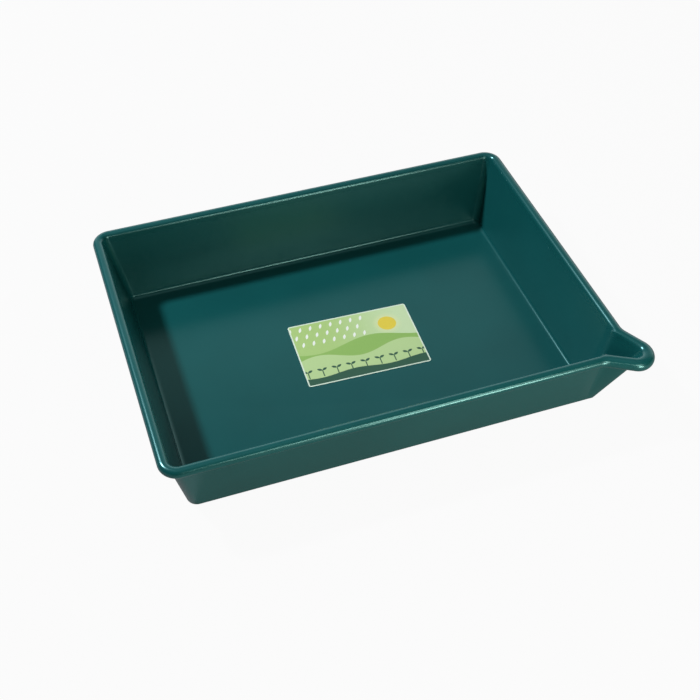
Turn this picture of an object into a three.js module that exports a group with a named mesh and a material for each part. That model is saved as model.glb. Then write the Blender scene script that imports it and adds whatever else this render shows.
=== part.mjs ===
// A watering tray: a shallow plastic tray with leaning walls, a rolled rim and a pouring lip at one
// corner, and a paper label stuck to its floor.
// Millimetres, +Z up, +X along the long side, the lip at the corner +X -Y.
// The origin is the centre of the underside.

import * as THREE from 'three';

// Rim
const RIM_LENGTH = 375;
const RIM_WIDTH = 275;
const HEIGHT = 66;
const RIM_BEAD = 8.5; // width of the rolled rim, whose section is round
const RIM_CURL = THREE.MathUtils.degToRad(45); // how far its outer edge turns under
const RIM_CORNER_RADIUS = 15;

// Foot: the outline that the walls stand on
const FOOT_INSET = 18.4; // how far the foot lies inside the rim's outer edge
const FOOT_CORNER_RADIUS = 8.4;
const FOOT_ROUNDING = 1.2; // soft edge between the walls and the underside

// Plastic
const WALL = 2; // of the rim and of the walls under it
const FOOT_WALL = 3.4; // what the walls thicken to at the foot
const FLOOR = 1.5;
const FLOOR_FILLET = 5; // inside, where the floor turns up into the walls
const SHARPEST_CORNER = 0.5; // no corner of the floor is tighter than this

// Pouring lip: the rim leaves both sides at an angle and meets in a round tip
const LIP_START = 29.4; // from the sharp corner of the rim, along either side
const LIP_FLARE = THREE.MathUtils.degToRad(28.7);
const LIP_TIP_RADIUS = 15.2;
const LIP_BEAD = 11.5; // width of the rolled rim at the tip, where it is widest
const LIP_SWELL = 0.7; // power of the sine that the rim swells by: the lower, the sooner it is wide
const LIP_BEND_RADIUS = 16; // hollow bend where the lip leaves a side
const LIP_CREASE_RADIUS = 1.5; // what the bend tightens to at the inner edge of the rim
const LIP_CREASE_POWER = 4; // power that it tightens by: the higher, the nearer to that edge
const LIP_CREASE_SLIDE = 3.7; // how far the crease lies further back inside the wall than outside it
const LIP_FOOT_RADIUS = 3.1; // foot corner under the lip
const LIP_FOOT_SLIDE = 6; // how far before that corner the creases under the bends meet the foot
const LIP_BEND_SHARE = 0.12; // share of that foot corner that lies under each bend
const LIP_FLANK_SHARE = 0.03; // share of it that lies under each flank

// Label
const LABEL_LENGTH = 106.2;
const LABEL_WIDTH = 71.7;
const LABEL_THICKNESS = 0.2;
const LABEL_CORNER_RADIUS = 2;
const LABEL_CENTRE = new THREE.Vector2(6.3, -1.4);
const LABEL_TURN = THREE.MathUtils.degToRad(-2.2);
const GLUE_FILM = 0.05; // under the label

// Fineness of the curves
const CORNER_STEPS = 8;
const BEND_STEPS = 5;
const TIP_STEPS = 28;
const BEAD_STEPS = 14;
const FILLET_STEPS = 5;

const HALF_RIM = new THREE.Vector2(RIM_LENGTH / 2, RIM_WIDTH / 2);
const HALF_FOOT = HALF_RIM.clone().subScalar(FOOT_INSET);
const QUARTER = Math.PI / 2;
const { clamp, lerp } = THREE.MathUtils;

const direction = (angle) => new THREE.Vector2(Math.cos(angle), Math.sin(angle));
const steps = (count) => Array.from({ length: count + 1 }, (_, i) => i / count);

// A station is one place on the way round the tray. Its rimAt gives the point of the rim that lies inset
// from the outer edge, and outward is the direction out of the tray there. The wall runs down to the
// place at footAngle on the foot's corner arc, moved by footSlide. The rim's round top has beadRadius.

// Stations of a plain corner. corner holds the signs of the corner's x and y.
function plainCorner(corner, startAngle) {
  const centre = HALF_RIM.clone().subScalar(RIM_CORNER_RADIUS).multiply(corner);
  return steps(CORNER_STEPS).map((share) => {
    const footAngle = startAngle + share * QUARTER;
    const outward = direction(footAngle);
    return {
      rimAt: (inset) => centre.clone().addScaledVector(outward, RIM_CORNER_RADIUS - inset),
      outward,
      corner,
      footRadius: FOOT_CORNER_RADIUS,
      footAngle,
      footSlide: new THREE.Vector2(),
      beadRadius: RIM_BEAD / 2,
    };
  });
}

// Stations of the lip's corner: hollow bend, straight flank, round tip, and the same mirrored.
// The flank leaves the front side LIP_START from the corner, and the tip's centre lies on the corner's
// diagonal, LIP_TIP_RADIUS inside both flanks. The rim swells from both ends of the lip to its tip.
function lipCorner() {
  const corner = new THREE.Vector2(1, -1);
  const bendReach = LIP_START + LIP_BEND_RADIUS * Math.tan(LIP_FLARE / 2);
  const tipShift = (LIP_START * Math.sin(LIP_FLARE) - LIP_TIP_RADIUS)
    / (Math.cos(LIP_FLARE) - Math.sin(LIP_FLARE));
  const tipCentre = HALF_RIM.clone().addScalar(tipShift).multiply(corner);
  const frontBend = new THREE.Vector2(HALF_RIM.x - bendReach, -HALF_RIM.y - LIP_BEND_RADIUS);
  const sideBend = new THREE.Vector2(HALF_RIM.x + LIP_BEND_RADIUS, -HALF_RIM.y + bendReach);

  const arc = (count, rimAlong, fromAngle, toAngle, fromShare, toShare, footSlide) =>
    steps(count).map((share) => {
      const outward = direction(lerp(fromAngle, toAngle, share));
      const footShare = lerp(fromShare, toShare, share);
      const bead = lerp(RIM_BEAD, LIP_BEAD, Math.sin(footShare * Math.PI) ** LIP_SWELL);
      return {
        rimAt: (inset) => rimAlong(outward, inset, bead),
        outward,
        corner,
        footRadius: LIP_FOOT_RADIUS,
        footAngle: (footShare - 1) * QUARTER,
        footSlide,
        beadRadius: bead / 2,
      };
    });
  const tip = (outward, inset) => tipCentre.clone().addScaledVector(outward, LIP_TIP_RADIUS - inset);
  // The further in, the tighter the bend, and its centre moves in so that it still touches both sides.
  // Through the thickness of the wall it also moves along the side, away from the lip.
  const bend = (centre, middleAngle, away) => (outward, inset, bead) => {
    const tightness = Math.min(inset / RIM_BEAD, 1) ** LIP_CREASE_POWER;
    const radius = lerp(LIP_BEND_RADIUS, LIP_CREASE_RADIUS, tightness);
    const shift = (inset + LIP_BEND_RADIUS - radius) / Math.cos(LIP_FLARE / 2);
    const through = clamp((inset - bead) / WALL + 1, 0, 1);
    return centre.clone().addScaledVector(direction(middleAngle), -shift).addScaledVector(outward, -radius)
      .addScaledVector(away, LIP_CREASE_SLIDE * through);
  };

  const flankAngle = -QUARTER - LIP_FLARE;
  const frontAway = new THREE.Vector2(-1, 0);
  const sideAway = new THREE.Vector2(0, 1);
  const frontRim = bend(frontBend, (flankAngle - QUARTER) / 2, frontAway);
  const sideRim = bend(sideBend, LIP_FLARE / 2, sideAway);
  const tipShare = LIP_BEND_SHARE + LIP_FLANK_SHARE;
  const frontSlide = frontAway.clone().multiplyScalar(LIP_FOOT_SLIDE);
  const sideSlide = sideAway.clone().multiplyScalar(LIP_FOOT_SLIDE);
  return [
    ...arc(BEND_STEPS, frontRim, -QUARTER, flankAngle, 0, LIP_BEND_SHARE, frontSlide),
    ...arc(TIP_STEPS, tip, flankAngle, LIP_FLARE, tipShare, 1 - tipShare, new THREE.Vector2()),
    ...arc(BEND_STEPS, sideRim, LIP_FLARE, 0, 1 - LIP_BEND_SHARE, 1, sideSlide),
  ];
}

function rimPoint(place, inset, height) {
  const point = place.rimAt(inset);
  return new THREE.Vector3(point.x, point.y, height);
}

// A point of the foot's outline drawn inset, whose corners tighten as it goes in.
function footPoint(place, inset, height) {
  const radius = Math.max(place.footRadius - inset, SHARPEST_CORNER);
  const point = HALF_FOOT.clone().subScalar(inset + radius).multiply(place.corner).add(place.footSlide);
  point.addScaledVector(direction(place.footAngle), radius);
  return new THREE.Vector3(point.x, point.y, height);
}

// The lean from the vertical of the wall's face that starts at foot, so that it meets the round of the
// rim, of the given radius, smoothly.
function wallLean(place, foot, radius) {
  const run = place.rimAt(0).sub(foot).dot(place.outward) - place.beadRadius;
  const rise = HEIGHT - place.beadRadius - foot.z;
  return Math.acos(radius / Math.hypot(run, rise)) - Math.atan2(rise, run);
}

// An arc of the rim's section about the bead's centre. Angle 0 points into the tray and half a turn
// points out of it.
function beadArc(place, radius, fromAngle, toAngle) {
  return steps(BEAD_STEPS).map((share) => {
    const turned = direction(lerp(fromAngle, toAngle, share)).multiplyScalar(radius);
    return rimPoint(place, place.beadRadius + turned.x, HEIGHT - place.beadRadius + turned.y);
  });
}

// A soft corner that leaves one line at from, turns at corner and joins another line at to.
function softCorner(from, corner, to) {
  return new THREE.QuadraticBezierCurve3(from, corner, to).getPoints(FILLET_STEPS);
}

function towards(from, to, distance) {
  return to.clone().sub(from).setLength(distance).add(from);
}

// The section of the moulding at a station, from the edge of the floor up the inside of the wall, over
// the rim to its turned-under edge, back inside the rim and down the outside to the edge of the underside.
function section(place) {
  const floorCorner = footPoint(place, FOOT_WALL, FLOOR);
  const footCorner = footPoint(place, 0, 0);
  const underRadius = place.beadRadius - WALL;
  const innerLean = wallLean(place, floorCorner, place.beadRadius);
  const outerLean = wallLean(place, footCorner, underRadius);
  const over = beadArc(place, place.beadRadius, innerLean, Math.PI + RIM_CURL);
  const under = beadArc(place, underRadius, Math.PI + RIM_CURL, outerLean);

  const filletReach = FLOOR_FILLET * Math.tan((QUARTER - innerLean) / 2);
  const floorEdge = footPoint(place, FOOT_WALL + filletReach, FLOOR);
  const fillet = softCorner(floorEdge, floorCorner, towards(floorCorner, over[0], filletReach));

  const footEdge = footPoint(place, FOOT_ROUNDING, 0);
  const foot = softCorner(towards(footCorner, under.at(-1), FOOT_ROUNDING), footCorner, footEdge);
  return [...fillet, ...over, ...under, ...foot];
}

// A closed body swept through sections that run once round the part, with a flat cap on the sections'
// first points and another on their last.
function sweepRound(sections) {
  const around = sections.length;
  const along = sections[0].length;
  const points = sections.flat();
  const triangles = [];
  sections.forEach((_, i) => {
    const here = i * along;
    const next = ((i + 1) % around) * along;
    for (let j = 0; j + 1 < along; j += 1) {
      triangles.push(here + j, here + j + 1, next + j + 1);
      triangles.push(here + j, next + j + 1, next + j);
    }
  });
  const cap = (index) => {
    const outline = sections.map((line) => new THREE.Vector2(line[index].x, line[index].y));
    const faces = THREE.ShapeUtils.triangulateShape(outline, []);
    return faces.map((corners) => corners.map((i) => i * along + index));
  };
  cap(0).forEach(([a, b, c]) => triangles.push(a, b, c));
  cap(along - 1).forEach(([a, b, c]) => triangles.push(a, c, b));
  const geometry = new THREE.BufferGeometry().setFromPoints(points);
  geometry.setIndex(triangles);
  geometry.computeVertexNormals();
  return geometry;
}

function trayGeometry() {
  const stations = [
    ...lipCorner(),
    ...plainCorner(new THREE.Vector2(1, 1), 0),
    ...plainCorner(new THREE.Vector2(-1, 1), QUARTER),
    ...plainCorner(new THREE.Vector2(-1, -1), 2 * QUARTER),
  ];
  return sweepRound(stations.map(section));
}

function labelGeometry() {
  const x = LABEL_LENGTH / 2;
  const y = LABEL_WIDTH / 2;
  const r = LABEL_CORNER_RADIUS;
  const outline = new THREE.Shape();
  outline.absarc(x - r, y - r, r, 0, QUARTER);
  outline.absarc(-x + r, y - r, r, QUARTER, 2 * QUARTER);
  outline.absarc(-x + r, -y + r, r, 2 * QUARTER, 3 * QUARTER);
  outline.absarc(x - r, -y + r, r, 3 * QUARTER, 4 * QUARTER);
  outline.closePath();
  return new THREE.ExtrudeGeometry(outline, {
    depth: LABEL_THICKNESS,
    bevelEnabled: false,
    curveSegments: CORNER_STEPS,
  });
}

const plastic = new THREE.MeshStandardMaterial({ color: 0x1d5a58, roughness: 0.35, metalness: 0 });
const paper = new THREE.MeshStandardMaterial({ color: 0xa6cf5a, roughness: 0.5, metalness: 0 });

const trayMoulding = new THREE.Mesh(trayGeometry(), plastic);
trayMoulding.name = 'tray_moulding';

const floorLabel = new THREE.Mesh(labelGeometry(), paper);
floorLabel.name = 'floor_label';
floorLabel.position.set(LABEL_CENTRE.x, LABEL_CENTRE.y, FLOOR + GLUE_FILM);
floorLabel.rotation.z = LABEL_TURN;

const wateringTray = new THREE.Group();
wateringTray.add(trayMoulding, floorLabel);

export default wateringTray;
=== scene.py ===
"""A watering tray: a dark green plastic tray with leaning walls, a rolled rim and a pouring lip at one
corner, and a printed paper label stuck to its floor. Metres, +Z up, the lip at the corner +X -Y."""

import math

import bpy
import numpy as np
from mathutils import Matrix, Vector


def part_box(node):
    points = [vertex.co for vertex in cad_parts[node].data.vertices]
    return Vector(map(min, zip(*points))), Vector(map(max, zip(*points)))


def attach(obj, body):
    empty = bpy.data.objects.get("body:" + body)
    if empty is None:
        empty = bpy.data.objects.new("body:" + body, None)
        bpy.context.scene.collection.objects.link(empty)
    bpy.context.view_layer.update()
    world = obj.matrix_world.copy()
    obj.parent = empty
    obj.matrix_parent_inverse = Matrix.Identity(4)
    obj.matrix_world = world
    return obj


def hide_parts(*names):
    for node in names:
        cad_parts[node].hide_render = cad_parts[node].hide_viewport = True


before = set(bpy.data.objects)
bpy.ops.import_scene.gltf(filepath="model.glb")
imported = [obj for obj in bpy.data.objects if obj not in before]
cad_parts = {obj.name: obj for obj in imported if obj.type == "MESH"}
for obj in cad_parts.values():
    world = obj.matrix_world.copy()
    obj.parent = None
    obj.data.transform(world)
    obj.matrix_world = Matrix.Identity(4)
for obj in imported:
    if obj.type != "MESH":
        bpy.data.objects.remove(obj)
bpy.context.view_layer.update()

# The tray's own sizes: the rim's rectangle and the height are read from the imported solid
tray_low, tray_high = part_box("tray_moulding")
HALF_RIM = np.array([-tray_low[0], tray_high[1]])
HEIGHT = tray_high[2]
RIM_BEAD = 0.0085  # width of the rolled rim
RIM_CURL = math.radians(45)  # how far the rim's outer edge turns under
EDGE_ROUNDING = 0.0005
RIM_CORNER_RADIUS = 0.015
HALF_FOOT = HALF_RIM - 0.0184  # the outline that the walls stand on
FOOT_CORNER_RADIUS = 0.0084
FOOT_ROUNDING = 0.0012
WALL = 0.002
FOOT_WALL = 0.0034  # what the wall thickens to at the foot
FLOOR = 0.0015
FLOOR_FILLET = 0.005
SHARPEST_CORNER = 0.0005

# Pouring lip: the rim leaves both sides at an angle and meets in a round tip
LIP_START = 0.0294
LIP_FLARE = math.radians(28.7)
LIP_TIP_RADIUS = 0.0152
LIP_BEAD = 0.0115  # width of the rim at the tip
LIP_SWELL = 0.7  # power of the sine that the rim swells by
LIP_BEND_RADIUS = 0.016
LIP_CREASE_RADIUS = 0.0015  # what the bend tightens to at the inner edge of the rim
LIP_CREASE_POWER = 4  # power that it tightens by: the higher, the nearer to that edge
LIP_CREASE_SLIDE = 0.0037  # how far the crease lies further back inside the wall than outside it
LIP_FOOT_RADIUS = 0.0031
LIP_FOOT_SLIDE = 0.006  # how far before the foot's corner the creases under the bends end
LIP_BEND_SHARE = 0.12
LIP_FLANK_SHARE = 0.03

# Label
LABEL_LENGTH = 0.1062
LABEL_WIDTH = 0.0717
LABEL_CORNER_RADIUS = 0.002
LABEL_CENTRE = np.array([0.0063, -0.0014])
LABEL_TURN = math.radians(-2.2)

QUARTER = math.pi / 2
MM = 0.001


def turned(angles):
    """Unit directions in the plan: the cosine and the sine of each angle."""
    return np.stack([np.cos(angles), np.sin(angles)], axis=-1)


def rim_arc(centre, radius, angles, corner, foot_radius, foot_angles, bead, away=(0, 0), middle=(0, 0)):
    """Places round an arc of the rim's outer edge: the centre plus radius times the direction of each
    angle. Each place also has its outward direction, the corner arc of the foot with the angle on it
    that the wall runs down to, and the width of the rim. A bend also has the direction away from the
    lip, and the way that its centre moves, against middle, for points further in."""
    count = len(angles)
    outward = turned(angles)
    return {
        "centre": np.tile(centre, (count, 1)),
        "radius": np.full(count, radius),
        "outward": outward,
        "corner": np.tile(corner, (count, 1)),
        "foot_radius": np.full(count, foot_radius),
        "foot_angle": foot_angles,
        "away": np.tile(away, (count, 1)),
        "bead": np.broadcast_to(bead, count) / 2,
        "middle": np.tile(middle, (count, 1)),
    }


def plain_corner(corner, start, count=24):
    """Places round a plain corner: a quarter circle, with the foot's quarter circle below it."""
    corner = np.array(corner)
    angles = start + np.linspace(0, QUARTER, count + 1)
    centre = corner * (HALF_RIM - RIM_CORNER_RADIUS)
    return rim_arc(centre, RIM_CORNER_RADIUS, angles, corner, FOOT_CORNER_RADIUS, angles, RIM_BEAD)


def lip_corner(bend_count=10, tip_count=28):
    """Places round the pouring lip: a hollow bend out of the front side, the round tip, and a hollow
    bend into the right side. Straight flanks join them. The flanks leave the sides LIP_START from the
    corner, and the tip's centre lies on the corner's diagonal, one tip radius inside both flanks. The
    rim swells over the lip by a power of the sine of the share of the foot's corner."""
    corner = np.array([1, -1])
    reach = LIP_START + LIP_BEND_RADIUS * math.tan(LIP_FLARE / 2)
    shift = (LIP_START * math.sin(LIP_FLARE) - LIP_TIP_RADIUS) / (math.cos(LIP_FLARE) - math.sin(LIP_FLARE))
    front = np.linspace(0, LIP_BEND_SHARE, bend_count + 1)
    tip_share = LIP_BEND_SHARE + LIP_FLANK_SHARE
    tip = np.linspace(tip_share, 1 - tip_share, tip_count + 1)
    side = 1 - front[::-1]
    bend = np.linspace(0, LIP_FLARE, bend_count + 1)
    tip_angles = np.linspace(-QUARTER - LIP_FLARE, LIP_FLARE, tip_count + 1)
    front_centre = [HALF_RIM[0] - reach, -HALF_RIM[1] - LIP_BEND_RADIUS]
    side_centre = [HALF_RIM[0] + LIP_BEND_RADIUS, -HALF_RIM[1] + reach]

    def arc(centre, radius, angles, shares, **bent):
        bead = RIM_BEAD + (LIP_BEAD - RIM_BEAD) * np.sin(np.pi * shares) ** LIP_SWELL
        return rim_arc(centre, radius, angles, corner, LIP_FOOT_RADIUS, (shares - 1) * QUARTER, bead, **bent)

    stretch = 1 / math.cos(LIP_FLARE / 2)
    return [
        arc(front_centre, -LIP_BEND_RADIUS, -QUARTER - bend, front, away=(-1, 0),
            middle=turned(-QUARTER - LIP_FLARE / 2) * stretch),
        arc(corner * (HALF_RIM + shift), LIP_TIP_RADIUS, tip_angles, tip),
        arc(side_centre, -LIP_BEND_RADIUS, bend[::-1], side, away=(0, 1),
            middle=turned(LIP_FLARE / 2) * stretch),
    ]


def at_height(points, height):
    """Plan points lifted to a height, which is one number or one for each point."""
    return np.column_stack([points, np.broadcast_to(height, len(points))])


def rim_points(places, inset, height):
    """Points inset from the rim's outer edge. On a round corner the arc's radius shrinks by the inset.
    A bend tightens to the crease's radius by a power of its place across the rim, and its centre moves
    in so that it still touches both sides. Through the thickness of the wall it also moves along the
    side, away from the lip."""
    inset = np.broadcast_to(inset, len(places["radius"]))
    tightness = np.minimum(inset / RIM_BEAD, 1) ** LIP_CREASE_POWER
    tight = LIP_BEND_RADIUS + (LIP_CREASE_RADIUS - LIP_BEND_RADIUS) * tightness
    bent = places["radius"] < 0
    radius = np.where(bent, -tight, places["radius"] - inset)[:, None]
    shift = np.where(bent, inset + LIP_BEND_RADIUS - tight, 0)[:, None]
    through = np.clip((inset - 2 * places["bead"]) / WALL + 1, 0, 1)[:, None]
    centre = places["centre"] - places["middle"] * shift + places["away"] * through * LIP_CREASE_SLIDE
    return at_height(centre + places["outward"] * radius, height)


def foot_points(places, inset, height):
    """Points of the foot's outline drawn inset: corner arcs whose radius shrinks by the inset."""
    inset = np.broadcast_to(inset, len(places["radius"]))
    radius = np.maximum(places["foot_radius"] - inset, SHARPEST_CORNER)[:, None]
    centre = (HALF_FOOT - inset[:, None] - radius) * places["corner"] + places["away"] * LIP_FOOT_SLIDE
    return at_height(centre + radius * turned(places["foot_angle"]), height)


def between(start, end, shares):
    """Rows of points from start to end: start plus share times the way to end."""
    shares = np.reshape(shares, (-1, 1, 1))
    return start + (end - start) * shares


def soft_corner(start, corner, end, count=6):
    """A round corner: the quadratic Bezier curve from start to end with its handle at corner."""
    shares = np.linspace(0, 1, count + 1).reshape(-1, 1, 1)
    return (1 - shares) ** 2 * start + 2 * shares * (1 - shares) * corner + shares ** 2 * end


def towards(start, end, distance):
    """Points a distance from start on the way to end."""
    way = end - start
    return start + way * (np.reshape(distance, (-1, 1)) / np.linalg.norm(way, axis=1, keepdims=True))


def bead_arc(places, radius, starts, ends, count):
    """Arcs about the centre of the rim's round: angle 0 points into the tray, half a turn out of it."""
    bead = places["bead"]
    shares = np.linspace(0, 1, count + 1)[:, None]
    angles = starts + (ends - starts) * shares
    rows = [
        rim_points(places, bead + radius * np.cos(row), HEIGHT - bead + radius * np.sin(row))
        for row in angles
    ]
    return np.array(rows)


def eased(count):
    """Shares of a straight stretch without its ends, closer together near them: (1 - cos) / 2."""
    return (1 - np.cos(np.pi * np.arange(1, count) / count)) / 2


def wall_lean(places, foot, radius):
    """A wall's lean from the vertical, so that it meets the round of the rim smoothly: the angle of the
    line that passes the foot and touches a circle of a radius about the bead's centre."""
    bead = places["bead"]
    reach = (rim_points(places, 0, 0) - foot)[:, :2]
    run = (reach * places["outward"]).sum(axis=1) - bead
    rise = HEIGHT - bead - foot[:, 2]
    return np.arccos(radius / np.hypot(run, rise)) - np.arctan2(rise, run)


def tray_rows():
    """The tray's section at every place round it, as rows of points from the edge of the floor, up the
    inside of the wall, over the rim to its turned-under edge, back inside the rim, down the outside and
    to the edge of the base."""
    corners = lip_corner() + [
        plain_corner((1, 1), 0),
        plain_corner((-1, 1), QUARTER),
        plain_corner((-1, -1), 2 * QUARTER),
    ]
    places = {key: np.concatenate([corner[key] for corner in corners]) for key in corners[0]}
    foot_corner = foot_points(places, 0, 0)
    floor_corner = foot_points(places, FOOT_WALL, FLOOR)
    bead = places["bead"]
    lean = wall_lean(places, floor_corner, bead)
    outer_lean = wall_lean(places, foot_corner, bead - WALL)

    inner = bead - WALL
    end = np.pi + RIM_CURL
    over = bead_arc(places, bead, lean, end - EDGE_ROUNDING / bead, 38)
    under = bead_arc(places, inner, end - EDGE_ROUNDING / inner, outer_lean, 20)
    outer_edge = bead_arc(places, bead, end, end, 0)[0]
    inner_edge = bead_arc(places, inner, end, end, 0)[0]
    outer_round = soft_corner(over[-1], outer_edge, towards(outer_edge, inner_edge, EDGE_ROUNDING))
    inner_round = soft_corner(towards(inner_edge, outer_edge, EDGE_ROUNDING), inner_edge, under[0])

    fillet_reach = FLOOR_FILLET * np.tan((QUARTER - lean) / 2)
    floor_edge = foot_points(places, FOOT_WALL + fillet_reach, FLOOR)
    fillet = soft_corner(floor_edge, floor_corner, towards(floor_corner, over[0], fillet_reach), 8)
    base_edge = foot_points(places, FOOT_ROUNDING, 0)
    foot = soft_corner(towards(foot_corner, under[-1], FOOT_ROUNDING), foot_corner, base_edge)

    return np.concatenate([
        fillet, between(fillet[-1], over[0], eased(12)),
        over, outer_round[1:], inner_round[:-1],
        under, between(under[-1], foot[0], eased(12)), foot,
    ])


def filled_round(rows, step):
    """Rows of points that run once round the part, with straight stretches cut into steps: each gap
    between neighbours gets as many even shares as its longest row needs."""
    following = np.roll(rows, -1, axis=1)
    gaps = np.linalg.norm(following - rows, axis=2).max(axis=0)
    counts = np.maximum(np.ceil(gaps / step).astype(int), 1)
    index = np.repeat(np.arange(len(counts)), counts)
    first = np.repeat(np.cumsum(counts) - counts, counts)
    share = ((np.arange(len(index)) - first) / counts[index])[:, None]
    return rows[:, index] * (1 - share) + following[:, index] * share


def closed_mesh(name, rows):
    """A closed skin over rows of points that run once round: squares between neighbouring rows, and one
    flat face over the first row and another over the last."""
    count, around = rows.shape[:2]
    number = np.arange(count * around).reshape(count, around)
    beside = np.roll(number, -1, axis=1)
    squares = np.stack([number[:-1], number[1:], beside[1:], beside[:-1]], axis=-1).reshape(-1, 4)
    caps = [number[0].tolist(), number[-1, ::-1].tolist()]
    mesh = bpy.data.meshes.new(name)
    mesh.from_pydata(rows.reshape(-1, 3).tolist(), [], squares.tolist() + caps)
    mesh.update()
    piece = bpy.data.objects.new(name, mesh)
    bpy.context.scene.collection.objects.link(piece)
    return piece


def make_tray():
    """The moulding: its section carried round the rim, with the flat floor and the flat base."""
    tray = closed_mesh("tray_shell", filled_round(tray_rows(), 0.008))
    tray.data.shade_smooth()
    return tray


def make_label():
    """The label: a rectangle with round corners and a small thickness, turned and set down on the floor.
    Its map holds each point's share of the length and of the width."""
    low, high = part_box("floor_label")
    half = np.array([LABEL_LENGTH, LABEL_WIDTH]) / 2
    corners = np.array([[1, 1], [-1, 1], [-1, -1], [1, -1]])
    angles = np.linspace(0, QUARTER, 9)[None, :] + np.arange(4)[:, None] * QUARTER
    centres = corners * (half - LABEL_CORNER_RADIUS)
    outline = (centres[:, None, :] + LABEL_CORNER_RADIUS * turned(angles)).reshape(-1, 2)
    turn = np.array([turned(LABEL_TURN), turned(LABEL_TURN + QUARTER)])
    plan = outline @ turn + LABEL_CENTRE
    label = closed_mesh("printed_label", np.array([at_height(plan, low[2]), at_height(plan, high[2])]))
    shares = np.tile(outline, (2, 1)) / (2 * half) + 0.5
    loops = np.empty(len(label.data.loops), dtype=np.int32)
    label.data.loops.foreach_get("vertex_index", loops)
    layer = label.data.uv_layers.new(name="print")
    layer.uv.foreach_set("vector", shares[loops].astype(np.float32).ravel())
    return label


class Nodes:
    """Short hand for building a material's node tree."""

    def __init__(self, tree):
        self.tree = tree

    def make(self, kind, values=(), **settings):
        """A node of a kind, with settings, and inputs given by name as numbers or as other sockets."""
        node = self.tree.nodes.new(kind)
        for key, value in settings.items():
            setattr(node, key, value)
        for key, value in dict(values).items():
            self.put(node.inputs[key], value)
        return node

    def put(self, socket, value):
        if isinstance(value, bpy.types.NodeSocket):
            self.tree.links.new(value, socket)
        else:
            socket.default_value = value

    def math(self, operation, *values):
        """The result of one sum."""
        return self.make("ShaderNodeMath", enumerate(values), operation=operation).outputs[0]

    def noise(self, place, scale, detail=2, roughness=0.5):
        """A soft noise from 0 to 1, with a feature size of about 1 / scale."""
        values = {"Vector": place, "Scale": scale, "Detail": detail, "Roughness": roughness}
        return self.make("ShaderNodeTexNoise", values).outputs["Fac"]

    def spread(self, value, low, high, to_low, to_high, smooth=False):
        """A value carried from one range to another, and held at the ends."""
        values = {"Value": value, "From Min": low, "From Max": high, "To Min": to_low, "To Max": to_high}
        kind = "SMOOTHSTEP" if smooth else "LINEAR"
        return self.make("ShaderNodeMapRange", values, interpolation_type=kind).outputs["Result"]

    def blend(self, share, first, second, way="MIX"):
        """Two colours mixed by a share."""
        node = self.make("ShaderNodeMix", data_type="RGBA", blend_type=way)
        self.put(node.inputs["Factor"], share)
        for name, value in (("A", first), ("B", second)):
            socket = next(s for s in node.inputs if s.name == name and s.type == "RGBA")
            self.put(socket, value)
        return next(s for s in node.outputs if s.type == "RGBA")


def new_material(name):
    """A material with an empty tree, its shader and its output."""
    material = bpy.data.materials.new(name)
    material.use_nodes = True
    tree = material.node_tree
    tree.nodes.clear()
    nodes = Nodes(tree)
    shader = nodes.make("ShaderNodeBsdfPrincipled")
    output = nodes.make("ShaderNodeOutputMaterial")
    tree.links.new(shader.outputs["BSDF"], output.inputs["Surface"])
    return material, nodes, shader


def tray_plastic():
    """Dark teal green moulded plastic: a satin skin with a fine grain and a little cloudiness in its
    colour. The rim and the fillet round the floor are glossier than the rest."""
    material, nodes, shader = new_material("tray_plastic")
    place = nodes.make("ShaderNodeTexCoord").outputs["Object"]
    height = nodes.make("ShaderNodeSeparateXYZ", {"Vector": place}).outputs["Z"]
    clouds = nodes.noise(place, 14, 3)
    grain = nodes.noise(place, 1400, 2)
    colour = nodes.blend(nodes.spread(clouds, 0.3, 0.7, 0, 1), (0.0042, 0.074, 0.0735, 1),
                         (0.0048, 0.084, 0.0835, 1))
    speck = nodes.spread(grain, 0.35, 0.7, 0, 0.10)
    colour = nodes.blend(speck, colour, (0.007, 0.105, 0.103, 1))
    in_fillet = nodes.math("COMPARE", height, FLOOR + 0.0015, 0.0015)
    polish = nodes.spread(height, HEIGHT - 0.012, HEIGHT - 0.004, 0.30, 0.26, smooth=True)
    polish = nodes.math("SUBTRACT", polish, nodes.math("MULTIPLY", in_fillet, 0.06))
    patches = nodes.spread(nodes.noise(place, 55, 3), 0.3, 0.7, -0.004, 0.006)
    nodes.put(shader.inputs["Base Color"], colour)
    nodes.put(shader.inputs["Roughness"], nodes.math("ADD", polish, patches))
    shader.inputs["IOR"].default_value = 1.49
    shader.inputs["Specular IOR Level"].default_value = 0.87
    shader.inputs["Specular Tint"].default_value = (0.46, 1, 0.98, 1)
    bump = nodes.make("ShaderNodeBump", {"Height": grain, "Strength": 0.03, "Distance": 0.00006})
    nodes.put(shader.inputs["Normal"], bump.outputs["Normal"])
    return material


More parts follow.
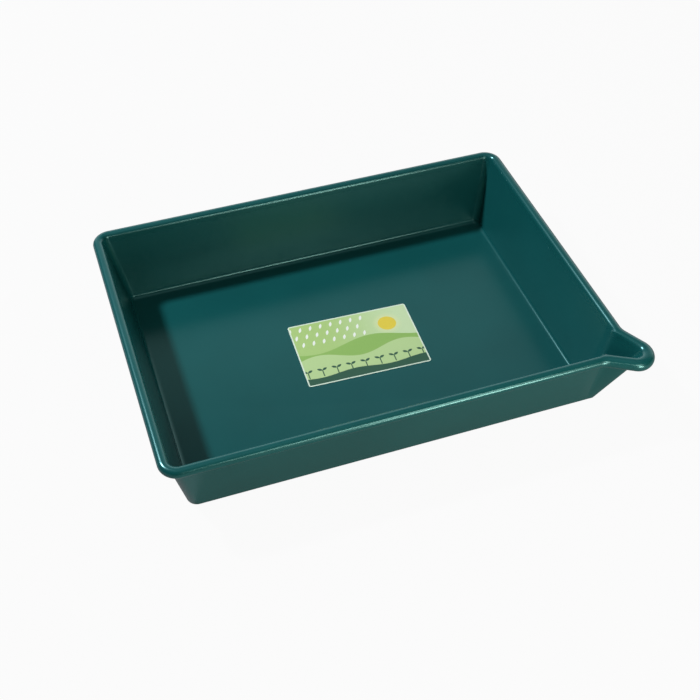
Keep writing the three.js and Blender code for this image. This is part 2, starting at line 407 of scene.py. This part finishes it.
def label_paper():
    """Coated paper with a printed garden scene: a lime sky that pales to the right, falling drops, a low
    sun, rolling hills and a row of dark seedlings, inside a pale border."""
    material, nodes, shader = new_material("label_paper")
    map_place = nodes.make("ShaderNodeUVMap", uv_map="print").outputs["UV"]
    parts = nodes.make("ShaderNodeSeparateXYZ", {"Vector": map_place})
    half_length = LABEL_LENGTH / MM / 2
    half_width = LABEL_WIDTH / MM / 2
    x = nodes.math("MULTIPLY", nodes.math("SUBTRACT", parts.outputs["X"], 0.5), 2 * half_length)
    y = nodes.math("MULTIPLY", nodes.math("SUBTRACT", parts.outputs["Y"], 0.5), 2 * half_width)
    edge = 0.25

    def inside(amount):
        """1 where an amount in millimetres is above zero, with a soft edge."""
        return nodes.spread(amount, -edge, edge, 0, 1, smooth=True)

    def disc(across, up, radius):
        """A disc about the zero of its two measures: radius less the distance."""
        distance = nodes.math("SQRT", nodes.math("ADD", nodes.math("MULTIPLY", across, across),
                                                 nodes.math("MULTIPLY", up, up)))
        return nodes.math("SUBTRACT", radius, distance)

    def leaf(across, up, length, width):
        """A leaf that lies along its first measure: what two equal discs share."""
        radius = (length ** 2 + width ** 2) / (4 * width)
        offset = radius - width / 2
        return nodes.math("MINIMUM", disc(across, nodes.math("ADD", up, offset), radius),
                          disc(across, nodes.math("SUBTRACT", up, offset), radius))

    def slanted(across, up, angle):
        """The same place seen in axes turned by an angle."""
        c, s = math.cos(angle), math.sin(angle)
        along = nodes.math("ADD", nodes.math("MULTIPLY", across, c), nodes.math("MULTIPLY", up, s))
        aside = nodes.math("SUBTRACT", nodes.math("MULTIPLY", up, c), nodes.math("MULTIPLY", across, s))
        return along, aside

    def hill(base, rise, period, shift):
        """Below a wave: base plus rise times the sine of the way along."""
        wave = nodes.math("SINE", nodes.math("MULTIPLY", nodes.math("ADD", x, shift), 2 * math.pi / period))
        return nodes.math("SUBTRACT", nodes.math("ADD", nodes.math("MULTIPLY", wave, rise), base), y)

    pale = (0.62, 0.80, 0.46, 1)
    lime = (0.44, 0.65, 0.22, 1)
    print_colour = nodes.blend(nodes.spread(x, -30, 50, 0, 1, smooth=True), lime, pale)

    sun_x, sun_y = nodes.math("SUBTRACT", x, 31), nodes.math("SUBTRACT", y, 17)
    sun = disc(sun_x, sun_y, 8)
    glow = nodes.spread(sun, -6, 0, 0, 0.45, smooth=True)
    print_colour = nodes.blend(glow, print_colour, (0.80, 0.86, 0.45, 1))
    print_colour = nodes.blend(inside(sun), print_colour, (0.82, 0.66, 0.07, 1))

    print_colour = nodes.blend(inside(hill(3, 5, 96, 12)), print_colour, (0.30, 0.53, 0.13, 1))
    print_colour = nodes.blend(inside(hill(-8, 4.5, 74, -18)), print_colour, (0.52, 0.72, 0.32, 1))
    print_colour = nodes.blend(inside(hill(-27, 1.5, 60, 25)), print_colour, (0.032, 0.115, 0.068, 1))

    drop_pitch = 9
    row = nodes.math("FLOOR", nodes.math("DIVIDE", nodes.math("SUBTRACT", y, 7), drop_pitch))
    drop_x = nodes.math("ADD", x, nodes.math("MULTIPLY", row, 3.7))
    drop_x = nodes.math("WRAP", drop_x, drop_pitch / 2, -drop_pitch / 2)
    drop_y = nodes.math("WRAP", nodes.math("SUBTRACT", y, 11.5), drop_pitch / 2, -drop_pitch / 2)
    along, aside = slanted(drop_x, drop_y, math.radians(70))
    drops = inside(leaf(along, aside, 6, 2.2))
    shower = nodes.math("MULTIPLY", inside(nodes.math("SUBTRACT", 13, x)),
                        inside(nodes.math("SUBTRACT", y, 7.5)))
    print_colour = nodes.blend(nodes.math("MULTIPLY", drops, shower), print_colour, (0.92, 0.97, 0.88, 1))

    seed_pitch = 12.5
    seed_x = nodes.math("WRAP", x, seed_pitch / 2, -seed_pitch / 2)
    seed_y = nodes.math("SUBTRACT", y, -22)
    stem = nodes.math("MINIMUM", nodes.math("SUBTRACT", 0.45, nodes.math("ABSOLUTE", seed_x)),
                      nodes.math("SUBTRACT", 3.4, nodes.math("ABSOLUTE", nodes.math("ADD", seed_y, 2))))
    wing_x = nodes.math("SUBTRACT", nodes.math("ABSOLUTE", seed_x), 2.1)
    along, aside = slanted(wing_x, nodes.math("SUBTRACT", seed_y, 2.6), math.radians(28))
    seedling = nodes.math("MAXIMUM", stem, leaf(along, aside, 4.8, 2.3))
    print_colour = nodes.blend(inside(seedling), print_colour, (0.032, 0.115, 0.068, 1))

    rim_gap = nodes.math("MINIMUM", nodes.math("SUBTRACT", half_length, nodes.math("ABSOLUTE", x)),
                         nodes.math("SUBTRACT", half_width, nodes.math("ABSOLUTE", y)))
    border = inside(nodes.math("SUBTRACT", 1.1, rim_gap))
    print_colour = nodes.blend(border, print_colour, (0.76, 0.91, 0.74, 1))

    place = nodes.make("ShaderNodeTexCoord").outputs["Object"]
    fibre = nodes.noise(place, 2200, 3, 0.6)
    tint = nodes.spread(fibre, 0.3, 0.7, 0.95, 1.04)
    shade = nodes.make("ShaderNodeCombineColor", {"Red": tint, "Green": tint, "Blue": tint}).outputs["Color"]
    nodes.put(shader.inputs["Base Color"], nodes.blend(1.0, print_colour, shade, "MULTIPLY"))
    nodes.put(shader.inputs["Roughness"], nodes.spread(fibre, 0.3, 0.7, 0.36, 0.46))
    shader.inputs["IOR"].default_value = 1.47
    bump = nodes.make("ShaderNodeBump", {"Height": fibre, "Strength": 0.08, "Distance": 0.00004})
    nodes.put(shader.inputs["Normal"], bump.outputs["Normal"])
    return material


def make_floor():
    """The studio floor: a wide square. Its grey paint catches the tray's shadow, and where the camera
    looks at it, it is nearly plain white. Reflections see a little of that white."""
    half = 6.0
    mesh = bpy.data.meshes.new("studio_floor")
    points = np.array([[-half, -half], [half, -half], [half, half], [-half, half]])
    mesh.from_pydata(at_height(points, -0.0001).tolist(), [], [[0, 1, 2, 3]])
    floor = bpy.data.objects.new("studio_floor", mesh)
    bpy.context.scene.collection.objects.link(floor)

    material = bpy.data.materials.new("studio_floor")
    material.use_nodes = True
    tree = material.node_tree
    tree.nodes.clear()
    nodes = Nodes(tree)
    paint = nodes.make("ShaderNodeBsdfDiffuse", {"Color": (0.28, 0.28, 0.28, 1)})
    white = nodes.make("ShaderNodeEmission", {"Color": (1, 1, 1, 1), "Strength": 1.0})
    path = nodes.make("ShaderNodeLightPath")
    seen = nodes.math("MULTIPLY", path.outputs["Is Camera Ray"], 0.95)
    mirrored = nodes.math("MULTIPLY", path.outputs["Is Glossy Ray"], 0.15)
    through = nodes.math("MULTIPLY", path.outputs["Is Transmission Ray"], 0.95)
    share = nodes.math("ADD", nodes.math("ADD", seen, mirrored), through)
    mix = nodes.make("ShaderNodeMixShader", {"Fac": share, 1: paint.outputs[0], 2: white.outputs[0]})
    output = nodes.make("ShaderNodeOutputMaterial")
    tree.links.new(mix.outputs[0], output.inputs["Surface"])
    mesh.materials.append(material)


def make_world():
    """Soft studio surroundings: a pale backdrop behind the tray, brightest low down, a dim ceiling,
    nearly dark elsewhere, and plain white where the camera sees it."""
    world = bpy.data.worlds.new("studio")
    bpy.context.scene.world = world
    world.use_nodes = True
    tree = world.node_tree
    tree.nodes.clear()
    nodes = Nodes(tree)
    way = nodes.make("ShaderNodeTexCoord").outputs["Generated"]
    up = nodes.make("ShaderNodeSeparateXYZ", {"Vector": way}).outputs["Z"]
    behind = nodes.make("ShaderNodeVectorMath", {0: way, 1: (0.5, 0.866, 0)}, operation="DOT_PRODUCT")
    low = nodes.spread(up, 0.70, 0.80, 1, 0, smooth=True)
    bright = nodes.spread(up, 0.30, 0.60, 1.1, 0.50, smooth=True)
    backdrop = nodes.spread(behind.outputs["Value"], 0.45, 0.70, 0, 1, smooth=True)
    ceiling = nodes.spread(up, 0.85, 0.95, 0.02, 0.3, smooth=True)
    level = nodes.math("ADD", nodes.math("MULTIPLY", nodes.math("MULTIPLY", low, bright), backdrop), ceiling)
    path = nodes.make("ShaderNodeLightPath")
    strength = nodes.math("MAXIMUM", path.outputs["Is Camera Ray"], level)
    light = nodes.make("ShaderNodeBackground", {"Color": (1, 1, 1, 1), "Strength": strength})
    output = nodes.make("ShaderNodeOutputWorld")
    tree.links.new(light.outputs[0], output.inputs["Surface"])


def make_lamp(name, shape, size, place, target, power, colour):
    """A soft lamp: a flat shape of a size at a place, facing a target."""
    light = bpy.data.lights.new(name, "AREA")
    light.shape = shape
    light.size = size[0]
    light.size_y = size[1]
    light.energy = power
    light.color = colour
    lamp = bpy.data.objects.new(name, light)
    bpy.context.scene.collection.objects.link(lamp)
    lamp.location = place
    lamp.rotation_euler = (Vector(target) - Vector(place)).to_track_quat("-Z", "Y").to_euler()
    return lamp


def make_camera():
    """The camera, placed by its turn round the tray, its height over the horizon, its tilt about its own
    line of sight and its distance from the point that it looks at."""
    turn = math.radians(-19.509)
    rise = math.radians(46.379)
    roll = math.radians(0.532)
    target = Vector((-0.00237, -0.00455, 0.00029))
    back = Vector((math.sin(turn) * math.cos(rise), -math.cos(turn) * math.cos(rise), math.sin(rise)))
    right = Vector((0, 0, 1)).cross(back).normalized()
    up = back.cross(right)
    level_right = math.cos(roll) * right + math.sin(roll) * up
    level_up = math.cos(roll) * up - math.sin(roll) * right
    lens = bpy.data.cameras.new("camera")
    lens.sensor_width = 36.0
    lens.lens = 58.71
    lens.clip_start = 0.01
    lens.clip_end = 100
    camera = bpy.data.objects.new("camera", lens)
    bpy.context.scene.collection.objects.link(camera)
    axes = Matrix((level_right, level_up, back)).transposed().to_4x4()
    camera.matrix_world = Matrix.Translation(target + back * 0.9663) @ axes
    bpy.context.scene.camera = camera


make_camera()
make_floor()
make_world()
make_lamp("key_lamp", "DISK", (0.16, 0.16), (-0.975, 0.733, 1.4), (0, 0, 0.03), 32.94, (0.898, 0.926, 1))
CARD_TARGET = (0, -0.05, 0.05)
CARD_COLOUR = (1, 0.909, 0.818)
make_lamp("front_card_low", "RECTANGLE", (0.24, 0.16), (0.3, -0.85, 0.085), CARD_TARGET, 3.41, CARD_COLOUR)
make_lamp("front_card_high", "RECTANGLE", (0.42, 0.24), (0.2, -0.85, 0.46), CARD_TARGET, 2.64, CARD_COLOUR)

tray = make_tray()
tray.data.materials.append(tray_plastic())
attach(tray, "root")
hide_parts("tray_moulding")

label = make_label()
label.data.materials.append(label_paper())
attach(label, "root")
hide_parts("floor_label")

bpy.context.scene.view_settings.view_transform = "Standard"
